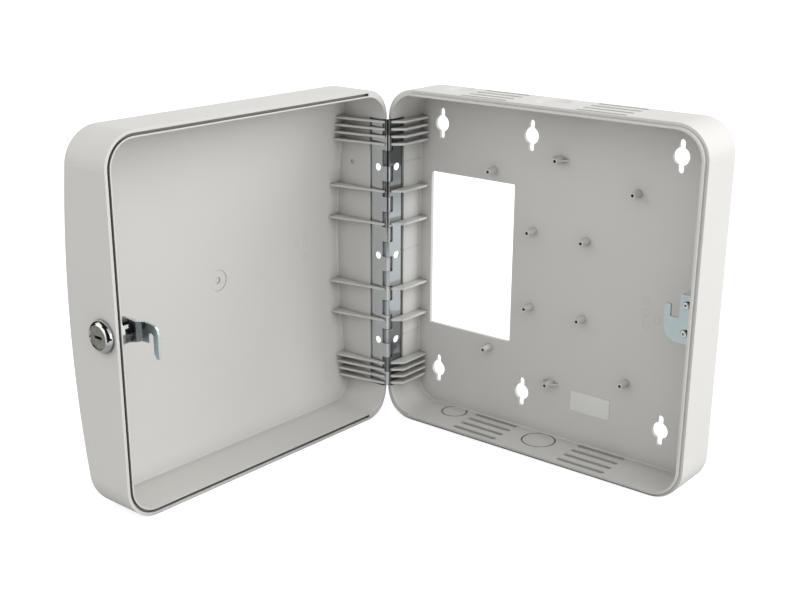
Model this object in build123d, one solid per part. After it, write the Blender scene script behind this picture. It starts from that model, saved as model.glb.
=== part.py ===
from build123d import *
import os

# Lockable access point enclosure: a plastic wall box whose front half is a hinged, key-locked door.
# All sizes are in mm. The origin is the middle of the back face, +Y points at the wall, +Z is up,
# and -X is the hinge side. Door pieces are built shut, then swung open about the hinge pin.

# Both halves
SIZE = 279.4              # square outline, 11 in
CORNER_R = 25.4           # outside corners seen from the front
OPEN_ANGLE = 91.5         # door angle as shown, 0 is shut
RIM_GAP = 0.3             # between the two rims when shut
RIM_RELIEF = 1.3          # bevel depth on both hinge-side rims, lets the door swing past square
RELIEF_REACH = 8.0        # bevel length inwards from the outside face

# Rear half
BASE_DEPTH = 42.0         # wall face to parting plane
BASE_WALL = 4.3
HINGE_WALL = 4.0          # hinge-side wall of both halves
BACK_T = 3.0
BACK_EDGE_R = 2.0
BASE_CAVITY_R = 1.2
LIP_T = 1.7               # raised lip on the inner edge of the rim
LIP_H = 2.6
LIP_START = 24.0          # distance of the lip's ends from the hinge face
WITNESS_RISE = 2.8        # mould witness lines above the hinge windows
WITNESS_T = 0.9
WITNESS_H = 0.4

# Door half
DOOR_EDGE_DEPTH = 43.5    # depth at the top and bottom
DOOR_MID_DEPTH = 57.0     # depth at the middle of the arched front
DOOR_WALL = 5.6
DOOR_PANEL = 3.0
DOOR_EDGE_R = 7.0
DOOR_CAVITY_R = 1.5
LIP_CLEARANCE = 0.2       # lip to groove on each side
GROOVE_EXTRA = 0.5        # groove below the lip's tip, and past its ends
GATE_R = 8.6              # shallow moulding gate dish inside the front panel
GATE_D = 0.5
CRATER_R = 2.6
CRATER_D = 1.3
DIMPLE_DEPTH = 35.6       # ejector dimple in the hinge wall, from the parting plane
DIMPLE_Z = 75.8
DIMPLE_R = 1.7
DIMPLE_D = 0.8

# Hinge
PIN_INSET = 0.4           # pin axis inside the outside face
PIN_R = 1.1
BORE_CLEARANCE = 0.05
KNUCKLE_R = 2.1
KNUCKLE_COUNT = 18
KNUCKLE_PITCH = 12.7
KNUCKLE_GAP = 0.3         # between neighbouring knuckles
LEAF_T = 0.9
LEAF_WIDTH = 15.6         # from the pin axis
HINGE_CLEARANCE = 0.35    # plastic to knuckles
KNUCKLE_SIDE_GAP = 1.8    # other leaf's knuckles to the bottom of the notches
NOTCH_SKIN = 0.6          # plastic left under the notches
LEAF_EDGE_GAP = 0.9       # leaf edge to the recess it lies in
LEAF_HOLE_H = 6.0
REAR_HOLE_W = 7.6         # across the rear leaf
REAR_HOLE_REACH = 9.2     # from the pin axis
DOOR_HOLE_W = 6.1         # across the door leaf
DOOR_HOLE_REACH = 8.8
WINDOW_MARGIN = 1.4       # wall window past the leaf hole
WINDOW_SHIFT = 0.6        # and its middle further from the pin
LEAF_HOLE_PITCH = 74.6

# Ribs on both hinge walls
RIB_T = 1.8
RIB_LEVELS = (112.2, 106.2, 100.2, 94.1, 55.4, 27.9)
RIB_LEAF_GAP = 0.3        # ribs bridge over the leaf
RIB_FOOT = 1.0            # rib front edge from the parting plane
RIB_NOSE = 1.5            # rib height over the leaf at its front edge
BASE_RIB_CREST = 12.3
BASE_RIB_SLOPE = 8.0      # depth at which the rear ribs reach full height
DOOR_RIB_CREST = 15.0
RIB_ROOT = 0.8            # rib sunk into wall and panel

# Pattern in the back panel, centred a little above the middle of the housing
PATTERN_Z = 2.2
KEYHOLE_R = 6.7
KEYHOLE_SLOT = 5.0
KEYHOLE_HEIGHT = 25.0
KEYHOLE_ROW = 106.45      # rows above and below the pattern centre
KEYHOLE_CORNER = 106.9    # corner keyholes from their own middle
KEYHOLE_MID_X = -7.1      # middle of the corner keyholes
KEYHOLE_EXTRA_X = -27.6   # third keyhole of each row
CUTOUT_W = 82.7
CUTOUT_H = 132.0
CUTOUT_X = -82.65
CUTOUT_CORNER_R = 1.0
POST_H = 10.0
POST_TIP_R = 2.4
POST_ROOT_R = 3.1
POST_PILOT_R = 1.25
POST_PILOT_DEPTH = 8.5
POST_FRAME = (3.55, 64.55, 74.9)  # middle x, half spacing across, half spacing up
POST_INNER = (2.25, 24.45, 31.4)
POST_LINE_X = 0.4
POST_LINE_Z = 91.5
GUSSET_REACH = 8.5        # half length at the panel
GUSSET_T = 1.4
GUSSET_H = 9.5            # apex, inside the post

# Top and bottom walls of the rear half
VENT_W = 4.2
VENT_LENGTH = 42.6
VENT_BANKS = (-49.8, 52.0)
VENT_COUNT = 4
VENT_FIRST = 4.2          # first slot's distance from the parting plane
VENT_PITCH = 10.6
BIG_KNOCKOUT_R = 14.2
BIG_KNOCKOUT_DEPTH = 24.6
SMALL_KNOCKOUT_R = 11.3
SMALL_KNOCKOUT_X = -88.9
SMALL_KNOCKOUT_DEPTH = 29.6
KNOCKOUT_RING_W = 1.2
KNOCKOUT_RING_D = 1.5
KNOCKOUT_DISH_D = 1.8
KNOCKOUT_DISH_SLOPE = 5.0

# Label plate, left bare
LABEL_W = 35.5
LABEL_H = 16.8
LABEL_IN = 102.3          # label's middle from the free side
LABEL_UP = 40.2           # and from the bottom
LABEL_T = 0.3

# Catch and its pedestal
CATCH_DEPTH = 10.2        # plate front face from the parting plane
CATCH_T = 1.6
CATCH_W = 24.8
CATCH_GAP = 0.7           # plate to the free wall's inner face
CATCH_TOP = 17.3
CATCH_BOTTOM = -19.4
PRONG_W = 5.1
PRONG_TOP = 8.6
NOTCH_W = 6.7
NOTCH_BOTTOM = -0.6
CATCH_CORNER_R = 12.0
CATCH_SMALL_R = 1.2
CATCH_SCREW_IN = 7.5      # screws and pedestal from the plate's free edge
CATCH_SCREW_LEVELS = (10.0, -11.3)
PEDESTAL_W = 12.0
SCREW_HEAD_R = 2.7
SCREW_HEAD_H = 1.8
SCREW_SHANK_R = 1.4
SCREW_LENGTH = 9.0
SCREW_SOCKET_R = 0.9
SCREW_SOCKET_D = 1.0

# Lock in the door's free side
LOCK_DEPTH = 14.5         # lock axis from the parting plane
BEZEL_R = 12.0
BEZEL_H = 5.0
BEZEL_EDGE_H = 1.0
FACE_R = 8.7
FACE_SINK = 0.6
BARREL_R = 9.5
BARREL_REACH = 18.3       # barrel end inside the outside face
BARREL_HOLE_GAP = 0.1
NUT_ACROSS = 22.0
NUT_T = 4.0
WASHER_R = 12.0
WASHER_T = 1.0
PLUG_R = 6.25
PLUG_GAP = 0.05
PLUG_HEAD_R = 8.4         # flanged head that fills the bezel
PLUG_HEAD_T = 2.0
TAIL_SQUARE = 8.0
TAIL_ROUND_R = 4.7
TAIL_LENGTH = 8.0
KEYWAY_W = 2.2
KEYWAY_H = 7.8
KEYWAY_DEPTH = 18.0
WAFER_COUNT = 5
WAFER_T = 1.1
WAFER_W = 4.8
WAFER_H = 11.2
WAFER_PITCH = 2.9
WAFER_FIRST = 4.0         # first wafer from the plug's face
WAFER_GAP = 0.1
WAFER_WINDOW_W = 2.6
WAFER_WINDOW_H = 5.6

# Cam that hooks behind the catch
CAM_GAP = 0.1
CAM_T = 2.0
CAM_HUB_R = 9.3
CAM_JOG = 2.8             # step of the arm towards the hinge
CAM_JOG_START = -2.4      # from the parting plane into the rear half
CAM_JOG_END = 0.8
CAM_HOOK_GAP = 0.7        # tail behind the catch plate
CAM_NECK_GAP = 2.5        # neck's step in front of the catch plate
CAM_TAIL_W = 4.9
CAM_HOOK = CATCH_DEPTH + CATCH_T + CAM_HOOK_GAP
CAM_NECK = CATCH_DEPTH - CAM_NECK_GAP
CAM_TAIL_END = CAM_HOOK + CAM_TAIL_W
CAM_SHAPE = (             # reach past the parting plane and height, seen along the lock axis
    (0.0, 8.2),
    (3.7, 8.9),
    (9.6, 8.7),
    (CAM_HOOK + 1.9, 7.8),
    (CAM_TAIL_END - 0.8, 5.3),
    (CAM_TAIL_END, 2.0),
    (CAM_TAIL_END, -14.5),
    (CAM_HOOK + 3.3, -16.0),
    (CAM_HOOK + 1.6, -14.7),
    (CAM_HOOK, -11.5),
    (CAM_HOOK, 0.9),
    (CAM_HOOK - 1.9, 2.2),
    (CAM_NECK + 0.7, 1.6),
    (CAM_NECK, -0.5),
    (CAM_NECK, -5.4),
    (0.0, -5.8),
)
SPRING_WASHER_R = 7.4
SPRING_WASHER_T = 1.0
CAM_NUT_ACROSS = 13.0
CAM_NUT_T = 4.4
CAM_NUT_CHAMFER = 0.5

HALF = SIZE / 2
PARTING_Y = -BASE_DEPTH
BASE_RIM_Y = PARTING_Y + RIM_GAP / 2
DOOR_RIM_Y = PARTING_Y - RIM_GAP / 2
PIN_X = -HALF + PIN_INSET
PIN_AXIS = Axis((PIN_X, PARTING_Y, 0), (0, 0, 1))
LEAF_FACE = PIN_X + KNUCKLE_R
LEAF_BACK = LEAF_FACE - LEAF_T
KNUCKLE_NOTCH = KNUCKLE_R + KNUCKLE_SIDE_GAP
HINGE_HALF = KNUCKLE_COUNT * KNUCKLE_PITCH / 2
LOCK_Y = PARTING_Y - LOCK_DEPTH
BARREL_END = HALF - BARREL_REACH
PANEL_FACE_Y = -BACK_T
CATCH_RIGHT = HALF - BASE_WALL - CATCH_GAP
CATCH_LEFT = CATCH_RIGHT - CATCH_W
CATCH_SCREW_X = CATCH_RIGHT - CATCH_SCREW_IN
PEDESTAL_LEFT = CATCH_RIGHT - PEDESTAL_W
LABEL_X = HALF - LABEL_IN
LABEL_Z = LABEL_UP - HALF
BASE_SIDE = 1             # depth runs towards +Y in the rear half
DOOR_SIDE = -1            # and towards -Y in the door


def front_prism(profile, y_from, y_to):
    """Solid of a profile seen from the front, between two depths."""
    return extrude(Plane.XZ.offset(-y_from) * profile, amount=y_from - y_to)


def plan_prism(points, z_low, z_high):
    """Solid of an outline seen from above, between two heights."""
    return extrude(Plane.XY.offset(z_low) * make_face(Polyline(*points, close=True)), amount=z_high - z_low)


def block(x_low, x_high, y_low, y_high, z_low, z_high):
    """Box given by its limits."""
    size = (x_high - x_low, y_high - y_low, z_high - z_low)
    middle = ((x_low + x_high) / 2, (y_low + y_high) / 2, (z_low + z_high) / 2)
    return Pos(*middle) * Box(*size)


def rod(axis_plane, radius, start, end):
    """Cylinder along the plane's normal, from start to end."""
    return extrude(axis_plane.offset(start) * Circle(radius), amount=end - start)


def outline(inset):
    """Rounded square of the housing, drawn in by an inset."""
    return RectangleRounded(SIZE - 2 * inset, SIZE - 2 * inset, CORNER_R - inset)


def inside(wall):
    """Rounded inside outline, with the hinge-side wall at its own thickness."""
    width = SIZE - wall - HINGE_WALL
    return Pos((HINGE_WALL - wall) / 2, 0) * RectangleRounded(width, SIZE - 2 * wall, CORNER_R - wall)


def rim_band(inset_outer, inset_inner, y_from, y_to, start):
    """Band along the rim, left out near the hinge."""
    band = front_prism(outline(inset_outer), y_from, y_to) - front_prism(outline(inset_inner), y_from, y_to)
    return band - block(-HALF, -HALF + start, min(y_from, y_to), max(y_from, y_to), -HALF, HALF)


def hinge_cuts(side):
    """Room in a hinge wall for knuckles and leaf, the see-through holes and the rim bevel."""
    z_end = HINGE_HALF + HINGE_CLEARANCE
    leaf_edge = PARTING_Y + side * (LEAF_WIDTH + LEAF_EDGE_GAP)
    notch_edge = PARTING_Y + side * KNUCKLE_NOTCH
    bevel = [(-HALF, PARTING_Y), (-HALF, PARTING_Y + side * RIM_RELIEF), (-HALF + RELIEF_REACH, PARTING_Y)]
    channel = rod(Plane((PIN_X, PARTING_Y, 0)), KNUCKLE_R + HINGE_CLEARANCE, -z_end, z_end)
    near, far = sorted((PARTING_Y, leaf_edge))
    recess = block(LEAF_BACK, -HALF + DOOR_WALL, near, far, -z_end, z_end)
    near, far = sorted((PARTING_Y, notch_edge))
    recess += block(-HALF + NOTCH_SKIN, LEAF_BACK, near, far, -z_end, z_end)
    return plan_prism(bevel, -HALF, HALF) + channel + recess + leaf_holes(side, WINDOW_MARGIN, WINDOW_SHIFT)


def leaf_holes(side, margin, shift):
    """Three oblong holes through the hinge side, larger by a margin and shifted in the wall."""
    holes = Part()
    reach, width = (REAR_HOLE_REACH, REAR_HOLE_W) if side == BASE_SIDE else (DOOR_HOLE_REACH, DOOR_HOLE_W)
    shape = SlotOverall(width + 2 * margin, LEAF_HOLE_H + 2 * margin)
    for level in (-LEAF_HOLE_PITCH, 0, LEAF_HOLE_PITCH):
        centre = Plane((-HALF, PARTING_Y + side * (reach + shift), level), x_dir=(0, 1, 0), z_dir=(1, 0, 0))
        holes += extrude(centre * shape, amount=DOOR_WALL)
    return holes


def hinge_ribs(side, crest, slope, depth):
    """Stiffening ribs that run over the leaf and up the hinge wall to the panel."""
    over_leaf = LEAF_FACE + RIB_LEAF_GAP
    past_leaf = LEAF_WIDTH + LEAF_EDGE_GAP
    outline_points = [
        (over_leaf, RIB_FOOT),
        (over_leaf + RIB_NOSE, RIB_FOOT),
        (-HALF + crest, slope),
        (-HALF + crest, depth),
        (-HALF + HINGE_WALL - RIB_ROOT, depth),
        (-HALF + HINGE_WALL - RIB_ROOT, past_leaf),
        (over_leaf, past_leaf),
    ]
    points = [(x, PARTING_Y + side * reach) for x, reach in outline_points]
    ribs = Part()
    for level in RIB_LEVELS:
        for z in (level, -level):
            ribs += plan_prism(points, z - RIB_T / 2, z + RIB_T / 2)
    return ribs


def keyhole(x, z):
    """Round hole with a narrow slot above and below it."""
    shape = Circle(KEYHOLE_R) + SlotOverall(KEYHOLE_HEIGHT, KEYHOLE_SLOT, rotation=90)
    return front_prism(Pos(x, z) * shape, PANEL_FACE_Y, 0)


def back_openings():
    """Keyholes and the cable cut-out."""
    cut = front_prism(
        Pos(CUTOUT_X, PATTERN_Z) * RectangleRounded(CUTOUT_W, CUTOUT_H, CUTOUT_CORNER_R), PANEL_FACE_Y, 0)
    columns = (KEYHOLE_MID_X - KEYHOLE_CORNER, KEYHOLE_MID_X + KEYHOLE_CORNER, KEYHOLE_EXTRA_X)
    for x in columns:
        for z in (PATTERN_Z - KEYHOLE_ROW, PATTERN_Z + KEYHOLE_ROW):
            cut += keyhole(x, z)
    return cut


def post(x, z, with_gussets):
    """Tapered screw post on the back panel with its pilot hole."""
    root = Plane((x, PANEL_FACE_Y + RIB_ROOT, z), x_dir=(1, 0, 0), z_dir=(0, -1, 0))
    height = POST_H + RIB_ROOT
    body = loft([root * Circle(POST_ROOT_R), root.offset(height) * Circle(POST_TIP_R)])
    if with_gussets:
        wing = make_face(Polyline((-GUSSET_REACH, 0), (GUSSET_REACH, 0), (0, GUSSET_H), close=True))
        side_on = Plane((x, PANEL_FACE_Y + RIB_ROOT, z), x_dir=(1, 0, 0), z_dir=(0, 0, -1))
        body += extrude(side_on * wing, amount=GUSSET_T / 2, both=True)
    pilot = root.offset(height - POST_PILOT_DEPTH) * Circle(POST_PILOT_R)
    return body - extrude(pilot, amount=POST_PILOT_DEPTH)


def posts():
    """All screw posts: an outer four, an inner four and one gusseted pair on the centre line."""
    made = Part()
    for middle, across, up in (POST_FRAME, POST_INNER):
        for x in (middle - across, middle + across):
            for z in (PATTERN_Z - up, PATTERN_Z + up):
                made += post(x, z, False)
    for z in (PATTERN_Z - POST_LINE_Z, PATTERN_Z + POST_LINE_Z):
        made += post(POST_LINE_X, z, True)
    return made


def knockout(x, depth, radius, side):
    """Thinned ring inside and a coned dish outside, in the top (1) or bottom (-1) wall."""
    outer_face = Plane((x, PARTING_Y + depth, side * HALF), x_dir=(1, 0, 0), z_dir=(0, 0, -side))
    ring_floor = outer_face.offset(BASE_WALL - KNOCKOUT_RING_D)
    ring = extrude(ring_floor * (Circle(radius) - Circle(radius - KNOCKOUT_RING_W)), amount=KNOCKOUT_RING_D)
    dish_floor = outer_face.offset(KNOCKOUT_DISH_D) * Circle(radius - KNOCKOUT_DISH_SLOPE)
    return ring + loft([outer_face * Circle(radius), dish_floor])


def wall_cuts(side):
    """Vents and knockouts of the top (1) or bottom (-1) wall."""
    cut = knockout(0, BIG_KNOCKOUT_DEPTH, BIG_KNOCKOUT_R, side)
    cut += knockout(SMALL_KNOCKOUT_X, SMALL_KNOCKOUT_DEPTH, SMALL_KNOCKOUT_R, side)
    outside = Plane((0, PARTING_Y, side * HALF), x_dir=(1, 0, 0), z_dir=(0, 0, -side))
    turn = -side
    for x in VENT_BANKS:
        for row in range(VENT_COUNT):
            depth = VENT_FIRST + row * VENT_PITCH
            slot = outside * Pos(x, turn * depth) * SlotOverall(VENT_LENGTH, VENT_W)
            cut += extrude(slot, amount=BASE_WALL)
    return cut


def screw_holes(radius, y_low, y_high):
    """Holes for the two catch screws."""
    holes = Part()
    for level in CATCH_SCREW_LEVELS:
        holes += front_prism(Pos(CATCH_SCREW_X, level) * Circle(radius), y_low, y_high)
    return holes


def witness_lines():
    """Fine lines left by the mould inserts of the hinge windows."""
    lines = Part()
    for level in (-LEAF_HOLE_PITCH, 0, LEAF_HOLE_PITCH):
        z = level + WITNESS_RISE
        lines += block(-HALF + HINGE_WALL - WITNESS_H, -HALF + HINGE_WALL + WITNESS_H, BASE_RIM_Y + LEAF_WIDTH,
                       PANEL_FACE_Y + WITNESS_H, z - WITNESS_T / 2, z + WITNESS_T / 2)
    return lines


def rear_housing():
    """Rear half: shell, lip, ribs, posts, catch pedestal and every opening."""
    shell = front_prism(outline(0), BASE_RIM_Y, 0)
    shell = fillet(shell.edges().group_by(Axis.Y)[-1], BACK_EDGE_R)
    cavity = front_prism(inside(BASE_WALL), BASE_RIM_Y, PANEL_FACE_Y)
    cavity = fillet(cavity.edges().group_by(Axis.Y)[-1], BASE_CAVITY_R)
    shell -= cavity
    shell += rim_band(BASE_WALL - LIP_T, BASE_WALL, BASE_RIM_Y + RIB_ROOT, BASE_RIM_Y - LIP_H, LIP_START)
    shell -= wall_cuts(1) + wall_cuts(-1)
    shell += block(PEDESTAL_LEFT, HALF - BASE_WALL / 2, PARTING_Y + CATCH_DEPTH + CATCH_T,
                   PANEL_FACE_Y + RIB_ROOT, CATCH_BOTTOM + CATCH_SMALL_R, CATCH_TOP)
    shell -= screw_holes(SCREW_SHANK_R, PARTING_Y + CATCH_DEPTH, PARTING_Y + CATCH_DEPTH + SCREW_LENGTH + CATCH_T)
    shell += witness_lines()
    shell -= hinge_cuts(BASE_SIDE)
    shell += hinge_ribs(BASE_SIDE, BASE_RIB_CREST, BASE_RIB_SLOPE, BASE_DEPTH - BACK_T + RIB_ROOT)
    return shell + posts() - back_openings()


def door_block(face, panel, radius, y_rim):
    """Block of an outline, with its front arched from top to bottom and a rolled front edge."""
    rise = DOOR_MID_DEPTH - DOOR_EDGE_DEPTH
    arch_r = (HALF ** 2 + rise ** 2) / (2 * rise)
    arch_y = PARTING_Y - DOOR_MID_DEPTH + panel + arch_r
    arch = rod(Plane((0, arch_y, 0), z_dir=(1, 0, 0)), arch_r, -SIZE, SIZE)
    body = front_prism(face, y_rim, PARTING_Y - 2 * DOOR_MID_DEPTH) & arch
    return fillet(body.faces().sort_by(Axis.Y)[0].edges(), radius)


def mould_marks():
    """Gate dish and crater inside the front panel, and a dimple in the hinge wall."""
    inner = PARTING_Y - DOOR_MID_DEPTH + DOOR_PANEL
    marks = front_prism(Circle(GATE_R), inner + GATE_D, inner - GATE_D)
    marks += front_prism(Circle(CRATER_R), inner, inner - CRATER_D)
    wall_face = Plane((-HALF + HINGE_WALL, PARTING_Y - DIMPLE_DEPTH, DIMPLE_Z), z_dir=(-1, 0, 0))
    return marks + rod(wall_face, DIMPLE_R, 0, DIMPLE_D)


def door_shell():
    """Door half: arched shell with its sealing groove, ribs and lock hole."""
    outer = door_block(outline(0), 0, DOOR_EDGE_R, DOOR_RIM_Y)
    shell = outer - door_block(inside(DOOR_WALL), DOOR_PANEL, DOOR_CAVITY_R, PARTING_Y)
    groove_floor = DOOR_RIM_Y - LIP_H - GROOVE_EXTRA + RIM_GAP
    shell -= rim_band(BASE_WALL - LIP_T - LIP_CLEARANCE, BASE_WALL + LIP_CLEARANCE, PARTING_Y,
                      groove_floor, LIP_START - GROOVE_EXTRA)
    lock_hole = Plane((HALF, LOCK_Y, 0), z_dir=(-1, 0, 0))
    shell -= rod(lock_hole, BARREL_R + BARREL_HOLE_GAP, 0, DOOR_WALL)
    shell -= hinge_cuts(DOOR_SIDE) + mould_marks()
    ribs = hinge_ribs(DOOR_SIDE, DOOR_RIB_CREST, DOOR_MID_DEPTH - DOOR_PANEL, DOOR_MID_DEPTH)
    return shell + (ribs & outer)


def hinge_leaf(side, first):
    """Leaf with its share of the knuckles, first or second from the top."""
    far = PARTING_Y + side * LEAF_WIDTH
    leaf = block(LEAF_BACK, LEAF_FACE, min(PARTING_Y, far), max(PARTING_Y, far), -HINGE_HALF, HINGE_HALF)
    leaf -= leaf_holes(side, 0, 0)
    axis = Plane((PIN_X, PARTING_Y, 0))
    reach = PARTING_Y + side * KNUCKLE_NOTCH
    for index in range(KNUCKLE_COUNT):
        top = HINGE_HALF - index * KNUCKLE_PITCH
        bottom = top - KNUCKLE_PITCH
        if index % 2 == first:
            leaf += rod(axis, KNUCKLE_R, bottom + KNUCKLE_GAP / 2, top - KNUCKLE_GAP / 2)
        else:
            leaf -= block(LEAF_BACK, LEAF_FACE, min(PARTING_Y, reach), max(PARTING_Y, reach),
                          bottom - KNUCKLE_GAP / 2, top + KNUCKLE_GAP / 2)
    return leaf - rod(axis, PIN_R + BORE_CLEARANCE, -HINGE_HALF, HINGE_HALF)


def hinge_pin():
    """Plain pin through all the knuckles."""
    return rod(Plane((PIN_X, PARTING_Y, 0)), PIN_R, -HINGE_HALF, HINGE_HALF)


def catch_plate():
    """Flat catch with an open notch for the cam's neck."""
    points = [
        (CATCH_LEFT, PRONG_TOP),
        (CATCH_LEFT + PRONG_W, PRONG_TOP),
        (CATCH_LEFT + PRONG_W, NOTCH_BOTTOM),
        (CATCH_LEFT + PRONG_W + NOTCH_W, NOTCH_BOTTOM),
        (CATCH_LEFT + PRONG_W + NOTCH_W, CATCH_TOP),
        (CATCH_RIGHT, CATCH_TOP),
        (CATCH_RIGHT, CATCH_BOTTOM),
        (CATCH_LEFT, CATCH_BOTTOM),
    ]
    flat = make_face(Polyline(*points, close=True))
    low_left = flat.vertices().sort_by_distance((CATCH_LEFT, CATCH_BOTTOM, 0))[0]
    others = [corner for corner in flat.vertices() if corner.X < CATCH_RIGHT - CATCH_T and corner != low_left]
    flat = fillet(others, CATCH_SMALL_R)
    low_left = flat.vertices().sort_by_distance((CATCH_LEFT, CATCH_BOTTOM, 0))[0]
    flat = fillet(low_left, CATCH_CORNER_R)
    front = PARTING_Y + CATCH_DEPTH
    return front_prism(flat, front, front + CATCH_T) - screw_holes(SCREW_SHANK_R, front, front + CATCH_T)


def catch_screw(z):
    """Domed screw with a square drive socket."""
    seat = Plane((CATCH_SCREW_X, PARTING_Y + CATCH_DEPTH, z), z_dir=(0, -1, 0))
    head = rod(seat, SCREW_HEAD_R, 0, SCREW_HEAD_H)
    head = fillet(head.edges().group_by(Axis.Y)[0], SCREW_HEAD_H / 2)
    socket = seat.offset(SCREW_HEAD_H - SCREW_SOCKET_D) * Rectangle(2 * SCREW_SOCKET_R, 2 * SCREW_SOCKET_R)
    head -= extrude(socket, amount=SCREW_SOCKET_D)
    return head + rod(seat, SCREW_SHANK_R, -SCREW_LENGTH, 0)


def catch_screws():
    """Both catch screws."""
    return Compound(children=[catch_screw(level) for level in CATCH_SCREW_LEVELS])


def blank_label():
    """Bare label plate on the back panel."""
    return front_prism(Pos(LABEL_X, LABEL_Z) * Rectangle(LABEL_W, LABEL_H), PANEL_FACE_Y - LABEL_T, PANEL_FACE_Y)


def lock_body():
    """Chromed bezel and threaded barrel, bored for the plug and its head."""
    seat = HALF
    head_bottom = plug_face_x() - PLUG_HEAD_T - PLUG_GAP
    profile = Polyline(
        (HALF - BARREL_REACH, PLUG_R + PLUG_GAP),
        (HALF - BARREL_REACH, BARREL_R),
        (seat, BARREL_R),
        (seat, BEZEL_R),
        (seat + BEZEL_EDGE_H, BEZEL_R),
    )
    dome = TangentArc((seat + BEZEL_EDGE_H, BEZEL_R), (seat + BEZEL_H, FACE_R), tangent=(1, 0))
    face = Polyline(
        (seat + BEZEL_H, FACE_R),
        (plug_face_x(), PLUG_HEAD_R + PLUG_GAP),
        (head_bottom, PLUG_HEAD_R + PLUG_GAP),
        (head_bottom, PLUG_R + PLUG_GAP),
        (HALF - BARREL_REACH, PLUG_R + PLUG_GAP),
    )
    section = make_face(Curve() + [profile, dome, face])
    return Pos(0, LOCK_Y, 0) * revolve(section, Axis.X)


def lock_axis(x):
    """Plane across the lock axis, facing the hinge."""
    return Plane((x, LOCK_Y, 0), x_dir=(0, 1, 0), z_dir=(-1, 0, 0))


def lock_washer():
    """Washer between door wall and nut."""
    return extrude(lock_axis(HALF - DOOR_WALL) * (Circle(WASHER_R) - Circle(BARREL_R)), amount=WASHER_T)


def hex_nut(start, across, bore, thickness, chamfer_size):
    """Hexagon nut on the lock axis."""
    nut = extrude(lock_axis(start) * RegularPolygon(across / 2, 6, major_radius=False), amount=thickness)
    cone = extrude(lock_axis(start) * Circle(across / 2 + chamfer_size), amount=thickness)
    cone = chamfer(cone.edges(), chamfer_size)
    return (nut & cone) - extrude(lock_axis(start) * Circle(bore), amount=thickness)


def lock_nut():
    """Nut that clamps the lock to the door."""
    return hex_nut(HALF - DOOR_WALL - WASHER_T, NUT_ACROSS, BARREL_R, NUT_T, 2 * CAM_NUT_CHAMFER)


def plug_face_x():
    """Position of the plug's face, level with the sunk lock face."""
    return HALF + BEZEL_H - FACE_SINK


def wafer_x(index):
    """Middle of a wafer along the lock axis."""
    return plug_face_x() - WAFER_FIRST - index * WAFER_PITCH


def wafer_stack(width, height, thickness):
    """Plates at the wafer positions, lying across the keyway's long side."""
    stack = []
    for index in range(WAFER_COUNT):
        stack.append(Pos(wafer_x(index), LOCK_Y, 0) * Box(thickness, height, width))
    return stack


def tumbler_wafers():
    """Five wafers with a window for the key, drawn in to the shear line."""
    window = block(-HALF, plug_face_x(), LOCK_Y - WAFER_WINDOW_H / 2, LOCK_Y + WAFER_WINDOW_H / 2,
                   -WAFER_WINDOW_W / 2, WAFER_WINDOW_W / 2)
    return Compound(children=[wafer - window for wafer in wafer_stack(WAFER_W, WAFER_H, WAFER_T)])


def lock_plug():
    """Turning plug with a flanged head, keyway, wafer slots and a square tail for the cam."""
    plug = extrude(lock_axis(plug_face_x()) * Circle(PLUG_R), amount=plug_face_x() - BARREL_END)
    plug += extrude(lock_axis(plug_face_x()) * Circle(PLUG_HEAD_R), amount=PLUG_HEAD_T)
    tail = Rectangle(TAIL_SQUARE, TAIL_SQUARE) & Circle(TAIL_ROUND_R)
    plug += extrude(lock_axis(BARREL_END) * tail, amount=TAIL_LENGTH)
    plug -= block(plug_face_x() - KEYWAY_DEPTH, plug_face_x(), LOCK_Y - KEYWAY_H / 2, LOCK_Y + KEYWAY_H / 2,
                  -KEYWAY_W / 2, KEYWAY_W / 2)
    for slot in wafer_stack(WAFER_W + WAFER_GAP, 2 * PLUG_R, WAFER_T + WAFER_GAP):
        plug -= slot
    return plug


def cam_path():
    """Edge-on outline of the cam: flat hub, a step towards the hinge, flat arm."""
    hub = BARREL_END - CAM_GAP
    hub_start = -LOCK_DEPTH - CAM_HUB_R
    arm_end = CAM_TAIL_END
    front = [(hub, hub_start), (hub, CAM_JOG_START), (hub - CAM_JOG, CAM_JOG_END), (hub - CAM_JOG, arm_end)]
    back = [(x - CAM_T, reach) for x, reach in reversed(front)]
    return [(x, PARTING_Y + reach) for x, reach in front + back]


def lock_cam():
    """Stepped cam with a hooked end."""
    tallest = CAM_HUB_R
    edge_on = plan_prism(cam_path(), -2 * tallest, 2 * tallest)
    seen = Plane((0, PARTING_Y, 0), x_dir=(0, 1, 0), z_dir=(1, 0, 0))
    hub = Pos(-LOCK_DEPTH, 0) * Circle(CAM_HUB_R)
    arm = make_face(Polyline((-LOCK_DEPTH, CAM_HUB_R), *CAM_SHAPE, (-LOCK_DEPTH, -CAM_HUB_R), close=True))
    flat = hub + arm - Pos(-LOCK_DEPTH, 0) * Rectangle(TAIL_SQUARE, TAIL_SQUARE)
    return edge_on & extrude(seen * flat, amount=HALF)


def cam_washer():
    """Spring washer under the cam nut."""
    start = BARREL_END - CAM_GAP - CAM_T
    return extrude(lock_axis(start) * (Circle(SPRING_WASHER_R) - Circle(TAIL_ROUND_R)), amount=SPRING_WASHER_T)


def cam_nut():
    """Nut that holds the cam on the plug's tail."""
    start = BARREL_END - CAM_GAP - CAM_T - SPRING_WASHER_T
    return hex_nut(start, CAM_NUT_ACROSS, TAIL_ROUND_R, CAM_NUT_T, CAM_NUT_CHAMFER)


def opened(piece):
    """Swing a shut door piece to the pose shown."""
    return piece.rotate(PIN_AXIS, -OPEN_ANGLE)


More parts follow.
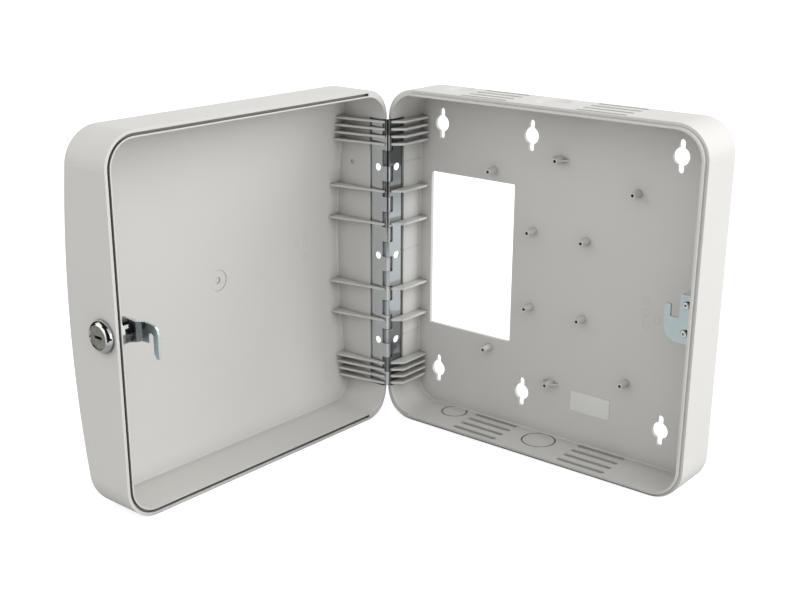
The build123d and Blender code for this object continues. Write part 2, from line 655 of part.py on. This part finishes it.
FIXED = {
    "rear_housing": rear_housing,
    "hinge_leaf_rear": lambda: hinge_leaf(BASE_SIDE, 0),
    "hinge_pin": hinge_pin,
    "catch_plate": catch_plate,
    "catch_screws": catch_screws,
    "blank_label": blank_label,
}
ON_DOOR = {
    "door_shell": door_shell,
    "hinge_leaf_door": lambda: hinge_leaf(DOOR_SIDE, 1),
    "lock_body": lock_body,
    "lock_washer": lock_washer,
    "lock_nut": lock_nut,
    "lock_plug": lock_plug,
    "tumbler_wafers": tumbler_wafers,
    "lock_cam": lock_cam,
    "cam_washer": cam_washer,
    "cam_nut": cam_nut,
}

os.makedirs("parts", exist_ok=True)
for name, make in FIXED.items():
    export_step(make(), f"parts/{name}.step")
for name, make in ON_DOOR.items():
    export_step(opened(make()), f"parts/{name}.step")
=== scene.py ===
import math

import bpy
from mathutils import Matrix, Vector


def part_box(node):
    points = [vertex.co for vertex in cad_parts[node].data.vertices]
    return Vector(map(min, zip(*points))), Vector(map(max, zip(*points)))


# Looks for the lockable access point enclosure: materials, lights, floor and the camera's view.
# Lengths are in metres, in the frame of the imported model, which rests with its door open.

# Camera, fitted to the photograph
FRAME_WIDTH_PX = 800
FRAME_HEIGHT_PX = 600
FOCAL_PX = 1265.45
CENTRE_PX = (393.81, 338.97)
CAMERA_AT = (0.50493, -0.82710, 0.28592)
CAMERA_YAW = math.radians(39.068)
CAMERA_PITCH = math.radians(-19.449)
CAMERA_ROLL = math.radians(-0.212)
SENSOR_MM = 36.0

# Floor, and the cards round it that only mirror-like surfaces show: painted dark reflections and a painted
# highlight
FLOOR_SIZE = 14.0
FLOOR_COLOUR = (0.45, 0.45, 0.45)
FLOOR_SEEN = 0.8          # brightness added where the camera sees the floor
FLOOR_MIRRORED = 0.35     # brightness added where it is reflected
HINGE_AT = (-0.1393, -0.042)
CARD_STEP = 6             # degrees between the corners of a curved card
CARD_HIDDEN_FROM = ("camera", "diffuse", "transmission", "shadow", "volume_scatter")
DARK_LEVEL = 0.015
# Dark cards: painted dark reflections of the floor, walls and ceiling
DARK_CARDS = (            # radius and height of both edges round the hinge, then the angles they span
    ("front_floor_dark_reflection", (0.55, 0.001), (3.0, 0.001), -90, -12),
    ("left_floor_dark_reflection", (0.38, 0.001), (3.0, 0.001), 150, 228),
    ("walls", (3.0, 0.0), (3.0, 3.0), 150, 380),
    ("ceiling", (3.0, 3.0), (0.1, 3.0), 0, 360),
)
# Card glowing only in reflections: a painted highlight of a soft lamp
SOFTBOX_LEVEL = 1.4
SOFTBOX = ("painted_softbox_highlight", (1.75, 0.02), (1.75, 0.85), -138, -90)

# Painted shadow under the rear half, a dark sheet seen through its vents, as left, front, right and back
# edges
UNDER = (-0.08, -0.04, 0.08, -0.004)
UNDER_LIFT = 0.0002
UNDER_SHADOW_LEVEL = 0.10
UNDER_HIDDEN_FROM = ("diffuse", "glossy")

# Lights
SKY = 1.18
BACKGROUND = 1.0
LAMP_SIZE = 1.4
LAMPS_AIM = (0, -0.15, 0)
LAMPS = (
    ("right", (2.0, -0.3, 0.3), 10.5),
    ("right_high", (1.5, -0.6, 1.5), 4.6),
    ("right_back", (1.5, 0.9, 1.1), 20.4),
    ("left_front", (-1.4, -1.5, 1.0), 6.4),
)

# Colours
BLACK = (0, 0, 0)
PLASTIC = (0.610, 0.603, 0.580)
ZINC = (0.475, 0.515, 0.53)
DOOR_LEAF = (0.60, 0.63, 0.645)
CATCH = (0.45, 0.52, 0.535)
CAM = (0.62, 0.73, 0.74)
NUT = (0.28, 0.30, 0.30)
WIRE = (0.44, 0.47, 0.47)
SCREW = (0.62, 0.64, 0.64)
LABEL = (0.73, 0.735, 0.70)
CHROME = (0.74, 0.74, 0.72)
NICKEL = (0.25, 0.25, 0.215)
BRASS = (0.60, 0.44, 0.20)
COLD_CAST = (0.99, 0.98, 1.02)
WARM_CAST = (1.0, 1.02, 0.99)

# Noise: the values that its lows and highs lie near, and how its grain is stretched along each axis
LOW, HIGH = 0.3, 0.7
CLOUD_LOW, CLOUD_HIGH = 0.35, 0.65
EVEN = (1, 1, 1)
ROLLED = (1, 1, 0.12)
DRAWN = (1, 1, 0.1)
BENT = (1, 1, 0.3)

# Painted shade in corners and gaps: how far round to look, the openness at the darkest and at the full
# colour, and the darkest level
CORNER_SHADE = (0.014, 0.3, 0.9, 0.72)
CREVICE_SHADE = (0.004, 0.12, 0.6, 0.12)
PLATE_NOOK_SHADE = (0.0015, 0.25, 0.85, 0.3)
BEZEL_NOOK_SHADE = (0.004, 0.3, 0.9, 0.2)

# Painted dark reflections, as the coordinate of full colour, that of the darkest and its level
LEAF_ENDS_PAINTED_DARK = ((0.030, 0.066, 0.40), (-0.070, -0.080, 0.48))
BEZEL_BOTTOM_PAINTED_DARK = (0.001, -0.004, 0.45)
BARREL_PAINTED_DARK = (-0.3207, -0.3205, 0.22)     # along Y: the lock's barrel is painted darker than its bezel, a painted dark reflection

# Faint round moulding marks on the inner faces of the door and the rear half, shown only as darker rings of
# painted shade
MARKS = (                 # centres, 1.5 mm off the faces, so that the rings don't reach the outer faces
    (-0.1927, -0.0844, 0.0178),
    (-0.1930, -0.0927, 0.0126),
    (-0.1928, -0.0833, 0.0107),
    (-0.1929, -0.0835, -0.0014),
    (0.0806, -0.0045, -0.0034),
    (0.0809, -0.0045, -0.0129),
    (0.0813, -0.0045, -0.0223),
    (0.0905, -0.0045, -0.0164),
)
MARK_RADIUS = 0.0032
MARK_WIDTH = 0.0010
# how dark the marks' rings of painted shade are
MARK_SHADE_LEVEL = 0.93


def combined(tree, operation, *values):
    """One value worked out from others, each a socket or a number."""
    node = tree.nodes.new("ShaderNodeMath")
    node.operation = operation
    for socket, value in zip(node.inputs, values):
        if isinstance(value, float):
            socket.default_value = value
        else:
            tree.links.new(value, socket)
    return node.outputs[0]


class Shader:
    """A node material being put together, with its Principled shader."""

    def __init__(self, name, colour, metallic, roughness):
        self.material = bpy.data.materials.new(name)
        self.material.use_nodes = True
        self.tree = self.material.node_tree
        self.surface = self.tree.nodes["Principled BSDF"]
        self.surface.inputs["Base Color"].default_value = (*colour, 1)
        self.surface.inputs["Metallic"].default_value = metallic
        self.surface.inputs["Roughness"].default_value = roughness
        self.place = self.add("ShaderNodeTexCoord").outputs["Object"]

    def add(self, kind, **settings):
        """A new node with its settings and unlinked values."""
        node = self.tree.nodes.new(kind)
        for key, value in settings.items():
            if key in node.inputs:
                node.inputs[key].default_value = value
            else:
                setattr(node, key, value)
        return node

    def link(self, source, target):
        self.tree.links.new(source, target)

    def noise(self, size, detail=3.0, stretch=EVEN):
        """Noise whose features are about this many metres across."""
        mapping = self.add("ShaderNodeMapping")
        mapping.inputs["Scale"].default_value = stretch
        self.link(self.place, mapping.inputs["Vector"])
        node = self.add("ShaderNodeTexNoise", Scale=1 / size, Detail=detail)
        self.link(mapping.outputs["Vector"], node.inputs["Vector"])
        return node.outputs["Fac"]

    def along(self, axis):
        """One coordinate of the place."""
        node = self.add("ShaderNodeSeparateXYZ")
        self.link(self.place, node.inputs[0])
        return node.outputs[axis]

    def spread(self, value, low, high, out_low, out_high):
        """Maps a value from one range to another."""
        node = self.add("ShaderNodeMapRange")
        ends = {"From Min": low, "From Max": high, "To Min": out_low, "To Max": out_high}
        for socket, number in ends.items():
            node.inputs[socket].default_value = number
        self.link(value, node.inputs["Value"])
        return node.outputs["Result"]

    def mixed(self, value, dark, light):
        """A colour between two colours or colour sockets, by a 0 to 1 value."""
        node = self.add("ShaderNodeMix", data_type="RGBA")
        for socket, colour in ((node.inputs[6], dark), (node.inputs[7], light)):
            if isinstance(colour, tuple):
                socket.default_value = (*colour, 1)
            else:
                self.link(colour, socket)
        self.link(value, node.inputs[0])
        return node.outputs[2]

    def paint(self, colour):
        """Gives the surface a colour socket as its colour."""
        self.link(colour, self.surface.inputs["Base Color"])

    def shade(self, colour, *values):
        """Colours the surface by a colour multiplied with values."""
        level = values[0]
        for value in values[1:]:
            level = combined(self.tree, "MULTIPLY", level, value)
        self.paint(self.mixed(level, BLACK, colour))

    def painted_nook_shade(self, reach, closed, opened, dark):
        """Painted shade: 1 in the open, down to a dark level in corners and gaps within this reach."""
        node = self.add("ShaderNodeAmbientOcclusion", samples=6, Distance=reach)
        return self.spread(node.outputs["AO"], closed, opened, dark, 1.0)

    def painted_darkening(self, axis, full, dull, level):
        """Painted darkening: 1 up to one coordinate, falling to a level at another."""
        return self.spread(self.along(axis), full, dull, 1.0, level)

    def rings(self, points, radius, width):
        """1 on a ring of this radius round each point, fading to 0 over the width."""
        nearest = None
        for point in points:
            away = self.add("ShaderNodeVectorMath", operation="DISTANCE")
            away.inputs[1].default_value = point
            self.link(self.place, away.inputs[0])
            distance = away.outputs["Value"]
            nearest = combined(self.tree, "MINIMUM", nearest, distance) if nearest else distance
        off = combined(self.tree, "ABSOLUTE", combined(self.tree, "SUBTRACT", nearest, radius))
        return self.spread(off, 0, width, 1, 0)

    def roughen(self, value, low, high):
        """Varies the roughness by noise."""
        self.link(self.spread(value, LOW, HIGH, low, high), self.surface.inputs["Roughness"])

    def bump(self, value, height, strength, edge=0.0):
        """Raises the surface by a value, over edges softened by a radius."""
        node = self.add("ShaderNodeBump", Distance=height, Strength=strength)
        self.link(value, node.inputs["Height"])
        if edge:
            soft = self.add("ShaderNodeBevel", samples=4, Radius=edge)
            self.link(soft.outputs["Normal"], node.inputs["Normal"])
        self.link(node.outputs["Normal"], self.surface.inputs["Normal"])


def scaled(colour, factor):
    """A colour made lighter or darker."""
    return tuple(channel * factor for channel in colour)


def cast(colour, tone):
    """A colour with a slight cast."""
    return tuple(channel * part for channel, part in zip(colour, tone))


def moulded_plastic():
    """Light grey moulded housing with a fine eroded texture, faint moulding marks shown as rings of painted
    shade, and painted shade in its corners and crevices.
    """
    shader = Shader("moulded_plastic", PLASTIC, metallic=0.0, roughness=0.5)
    shader.surface.inputs["Specular IOR Level"].default_value = 0.35
    drift = shader.spread(shader.noise(size=0.09, detail=2.0), LOW, HIGH, 0.985, 1.01)
    marks = shader.spread(shader.rings(MARKS, MARK_RADIUS, MARK_WIDTH), 0, 1, 1.0, MARK_SHADE_LEVEL)
    # painted shade in corners and crevices, and on the moulding marks' rings
    shader.shade(PLASTIC, drift, shader.painted_nook_shade(*CORNER_SHADE), shader.painted_nook_shade(*CREVICE_SHADE), marks)
    shader.roughen(shader.noise(size=0.02), 0.46, 0.56)
    shader.bump(shader.noise(size=0.00045, detail=2.0), height=0.00003, strength=0.35, edge=0.0002)
    return shader.material


def zinc_plate(name, colour, grain, gloss, painted_dark_ends=()):
    """Zinc plate with faint grain, cloudy patches, a bluish to greenish cast, painted shade in its corners
    and gaps, and painted dark reflections towards given ends.
    """
    shader = Shader(name, colour, metallic=1.0, roughness=gloss[0])
    cloud = shader.spread(shader.noise(size=0.012, detail=2.0), CLOUD_LOW, CLOUD_HIGH, 0, 1)
    shade = shader.mixed(cloud, cast(colour, COLD_CAST), cast(colour, WARM_CAST))
    # painted shade in the plate's corners and gaps
    shade = shader.mixed(shader.painted_nook_shade(*PLATE_NOOK_SHADE), BLACK, shade)
    # painted dark reflections towards the given ends
    for end in painted_dark_ends:
        shade = shader.mixed(shader.painted_darkening("Z", *end), BLACK, shade)
    shader.paint(shade)
    shader.roughen(shader.noise(size=0.003, stretch=grain), *gloss)
    shader.bump(shader.noise(size=0.0015, stretch=grain), height=0.00002, strength=0.15, edge=0.0002)
    return shader.material


def label_film():
    """Bare silvery film with a slight sheen."""
    shader = Shader("label_film", LABEL, metallic=0.5, roughness=0.38)
    cloud = shader.noise(size=0.012, detail=2.0)
    shader.paint(shader.mixed(cloud, scaled(LABEL, 0.96), scaled(LABEL, 1.05)))
    shader.roughen(shader.noise(size=0.001), 0.38, 0.5)
    shader.bump(shader.noise(size=0.0008), height=0.00001, strength=0.3)
    return shader.material


def chrome_plate():
    """Polished chrome with a trace of waviness, painted darker on the barrel and the bezel's bottom as
    painted dark reflections, with painted shade in its corners and gaps.
    """
    shader = Shader("chrome_plate", CHROME, metallic=1.0, roughness=0.06)
    haze = shader.spread(shader.noise(size=0.004), 0, 1, 0.97, 1.0)
    # painted dark reflections on the barrel and the bezel's bottom
    barrel = shader.painted_darkening("Y", *BARREL_PAINTED_DARK)
    bottom = shader.painted_darkening("Z", *BEZEL_BOTTOM_PAINTED_DARK)
    # painted shade where the bezel meets the door
    shader.shade(CHROME, haze, shader.painted_nook_shade(*BEZEL_NOOK_SHADE), barrel, bottom)
    shader.roughen(shader.noise(size=0.0015, detail=5.0), 0.04, 0.1)
    shader.bump(shader.noise(size=0.003), height=0.00002, strength=0.15, edge=0.0003)
    return shader.material


def nickel_plug():
    """Satin plug face with a little wear."""
    shader = Shader("nickel_plug", NICKEL, metallic=0.85, roughness=0.38)
    wear = shader.noise(size=0.0018, detail=5.0)
    patches = shader.spread(wear, LOW, HIGH, 0, 1)
    shader.paint(shader.mixed(patches, scaled(NICKEL, 0.7), scaled(NICKEL, 1.25)))
    shader.roughen(wear, 0.3, 0.5)
    shader.bump(shader.noise(size=0.0006, detail=4.0), height=0.00004, strength=0.5, edge=0.0002)
    return shader.material


def brass_stock():
    """Stamped brass with a dull film."""
    shader = Shader("brass_stock", BRASS, metallic=1.0, roughness=0.35)
    shader.paint(shader.mixed(shader.noise(size=0.002), scaled(BRASS, 0.75), BRASS))
    shader.roughen(shader.noise(size=0.0008), 0.3, 0.45)
    shader.bump(shader.noise(size=0.0005), height=0.00002, strength=0.3)
    return shader.material


def dress(frame):
    """Gives every CAD node its material."""
    plastic = moulded_plastic()
    cam = zinc_plate("cam_plate", CAM, BENT, gloss=(0.24, 0.34))
    nut = zinc_plate("nut_plate", NUT, EVEN, gloss=(0.3, 0.45))
    looks = {
        "rear_housing": plastic,
        "door_shell": plastic,
        # the rear leaf's ends are painted darker, as painted dark reflections
        "hinge_leaf_rear": zinc_plate("zinc_plate", ZINC, ROLLED, gloss=(0.10, 0.17), painted_dark_ends=LEAF_ENDS_PAINTED_DARK),
        "hinge_leaf_door": zinc_plate("door_leaf_zinc", DOOR_LEAF, ROLLED, gloss=(0.10, 0.17)),
        "hinge_pin": zinc_plate("drawn_wire", WIRE, DRAWN, gloss=(0.10, 0.16)),
        "catch_plate": zinc_plate("catch_zinc", CATCH, ROLLED, gloss=(0.14, 0.22)),
        "catch_screws": zinc_plate("screw_plate", SCREW, EVEN, gloss=(0.06, 0.12)),
        "blank_label": label_film(),
        "lock_body": chrome_plate(),
        "lock_washer": nut,
        "lock_nut": nut,
        "lock_plug": nickel_plug(),
        "tumbler_wafers": brass_stock(),
        "lock_cam": cam,
        "cam_washer": cam,
        "cam_nut": cam,
    }
    for node, material in looks.items():
        for slot in frame["nodes"][node].material_slots:
            slot.material = material


def empty_material(name):
    """A material with nothing but its output."""
    material = bpy.data.materials.new(name)
    material.use_nodes = True
    material.node_tree.nodes.clear()
    return material, material.node_tree, material.node_tree.nodes.new("ShaderNodeOutputMaterial")


def floor_material():
    """White to the camera and in reflections, a plain pale floor to the light, with the object's shadow."""
    material, tree, output = empty_material("floor")
    pale = tree.nodes.new("ShaderNodeBsdfDiffuse")
    pale.inputs["Color"].default_value = (*FLOOR_COLOUR, 1)
    rays = tree.nodes.new("ShaderNodeLightPath").outputs
    seen = combined(tree, "MULTIPLY", rays["Is Camera Ray"], FLOOR_SEEN)
    mirrored = combined(tree, "MAXIMUM", rays["Is Glossy Ray"], rays["Is Transmission Ray"])
    glow = tree.nodes.new("ShaderNodeEmission")
    tree.links.new(combined(tree, "MULTIPLY_ADD", mirrored, FLOOR_MIRRORED, seen), glow.inputs["Strength"])
    total = tree.nodes.new("ShaderNodeAddShader")
    tree.links.new(pale.outputs[0], total.inputs[0])
    tree.links.new(glow.outputs[0], total.inputs[1])
    tree.links.new(total.outputs[0], output.inputs["Surface"])
    return material


def card_material(name, level):
    """Evenly grey card of one brightness."""
    material, tree, output = empty_material(name)
    glow = tree.nodes.new("ShaderNodeEmission")
    glow.inputs["Color"].default_value = (level, level, level, 1)
    tree.links.new(glow.outputs[0], output.inputs["Surface"])
    return material


def staged_sheet(name, points, faces, material, hidden_from):
    """Sheet that belongs to the set and hides from some kinds of ray."""
    mesh = bpy.data.meshes.new(name)
    mesh.from_pydata(points, [], faces)
    sheet = bpy.data.objects.new(name, mesh)
    sheet.data.materials.append(material)
    for ray in hidden_from:
        setattr(sheet, f"visible_{ray}", False)
    bpy.context.collection.objects.link(sheet)


def arc(radius, height, start, end):
    """Points on a level arc round the hinge."""
    angles = [math.radians(turn) for turn in range(start, end + 1, CARD_STEP)]
    across, along = HINGE_AT
    return [(across + radius * math.cos(a), along + radius * math.sin(a), height) for a in angles]


def stand_cards(level, cards, material):
    """Curved cards round the hinge, over the floor's level."""
    for name, (near, low), (far, high), start, end in cards:
        lower = arc(near, level + low, start, end)
        upper = arc(far, level + high, start, end)
        count = len(lower)
        faces = [(k, k + 1, count + k + 1, count + k) for k in range(count - 1)]
        staged_sheet(name, lower + upper, faces, material, CARD_HIDDEN_FROM)


def paint_shadow_under(level):
    """Painted shadow: a dark sheet under the rear half, seen through its vents."""
    left, front, right, back = UNDER
    corners = [(left, front, level), (right, front, level), (right, back, level), (left, back, level)]
    painted_shadow = card_material("painted_shadow_sheet", UNDER_SHADOW_LEVEL)
    staged_sheet("painted_shadow_sheet", corners, [(0, 1, 2, 3)], painted_shadow, UNDER_HIDDEN_FROM)


def lay_floor(level):
    """Plain pale floor under the object."""
    bpy.ops.mesh.primitive_plane_add(size=FLOOR_SIZE, location=(0, 0, level))
    floor = bpy.context.object
    floor.name = "floor"
    floor.data.materials.append(floor_material())


def sky():
    """White background, with soft plain light for the object."""
    world = bpy.data.worlds.new("studio")
    bpy.context.scene.world = world
    world.use_nodes = True
    tree = world.node_tree
    tree.nodes.clear()
    plain = tree.nodes.new("ShaderNodeBackground")
    plain.inputs["Strength"].default_value = SKY
    white = tree.nodes.new("ShaderNodeBackground")
    white.inputs["Color"].default_value = (1, 1, 1, 1)
    white.inputs["Strength"].default_value = BACKGROUND
    rays = tree.nodes.new("ShaderNodeLightPath").outputs
    mirrored = combined(tree, "MAXIMUM", rays["Is Camera Ray"], rays["Is Glossy Ray"])
    pick = tree.nodes.new("ShaderNodeMixShader")
    tree.links.new(combined(tree, "MAXIMUM", mirrored, rays["Is Transmission Ray"]), pick.inputs[0])
    tree.links.new(plain.outputs[0], pick.inputs[1])
    tree.links.new(white.outputs[0], pick.inputs[2])
    output = tree.nodes.new("ShaderNodeOutputWorld")
    tree.links.new(pick.outputs[0], output.inputs["Surface"])


def light_up():
    """Large soft square lamps, the strongest on the right behind the object."""
    for name, at, power in LAMPS:
        data = bpy.data.lights.new(name, "AREA")
        data.size = LAMP_SIZE
        data.energy = power
        lamp = bpy.data.objects.new(name, data)
        lamp.location = at
        lamp.rotation_euler = (Vector(LAMPS_AIM) - Vector(at)).to_track_quat("-Z", "Y").to_euler()
        bpy.context.collection.objects.link(lamp)


def aim_camera():
    """Camera fitted to the photograph."""
    data = bpy.data.cameras.new("view")
    data.sensor_width = SENSOR_MM
    data.lens = SENSOR_MM * FOCAL_PX / FRAME_WIDTH_PX
    data.shift_x = (FRAME_WIDTH_PX / 2 - CENTRE_PX[0]) / FRAME_WIDTH_PX
    data.shift_y = (CENTRE_PX[1] - FRAME_HEIGHT_PX / 2) / FRAME_WIDTH_PX
    camera = bpy.data.objects.new("view", data)
    turn = Matrix.Rotation(CAMERA_YAW, 4, "Z") @ Matrix.Rotation(math.pi / 2 + CAMERA_PITCH, 4, "X")
    camera.matrix_world = Matrix.Translation(CAMERA_AT) @ turn @ Matrix.Rotation(-CAMERA_ROLL, 4, "Z")
    bpy.context.collection.objects.link(camera)
    bpy.context.scene.camera = camera


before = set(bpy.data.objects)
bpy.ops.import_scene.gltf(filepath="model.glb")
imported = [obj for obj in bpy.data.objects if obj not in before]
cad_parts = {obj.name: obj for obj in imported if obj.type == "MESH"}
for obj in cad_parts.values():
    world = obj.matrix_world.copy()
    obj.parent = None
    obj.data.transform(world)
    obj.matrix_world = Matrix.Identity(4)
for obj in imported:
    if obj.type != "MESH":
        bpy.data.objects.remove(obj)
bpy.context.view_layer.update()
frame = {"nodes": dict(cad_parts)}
dress(frame)
floor_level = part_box("rear_housing")[0][2]
lay_floor(floor_level)
paint_shadow_under(floor_level + UNDER_LIFT)
stand_cards(floor_level, DARK_CARDS, card_material("painted_dark_reflection", DARK_LEVEL))
stand_cards(floor_level, (SOFTBOX,), card_material("painted_softbox_highlight", SOFTBOX_LEVEL))
sky()
light_up()
aim_camera()
bpy.context.scene.view_settings.view_transform = "Standard"
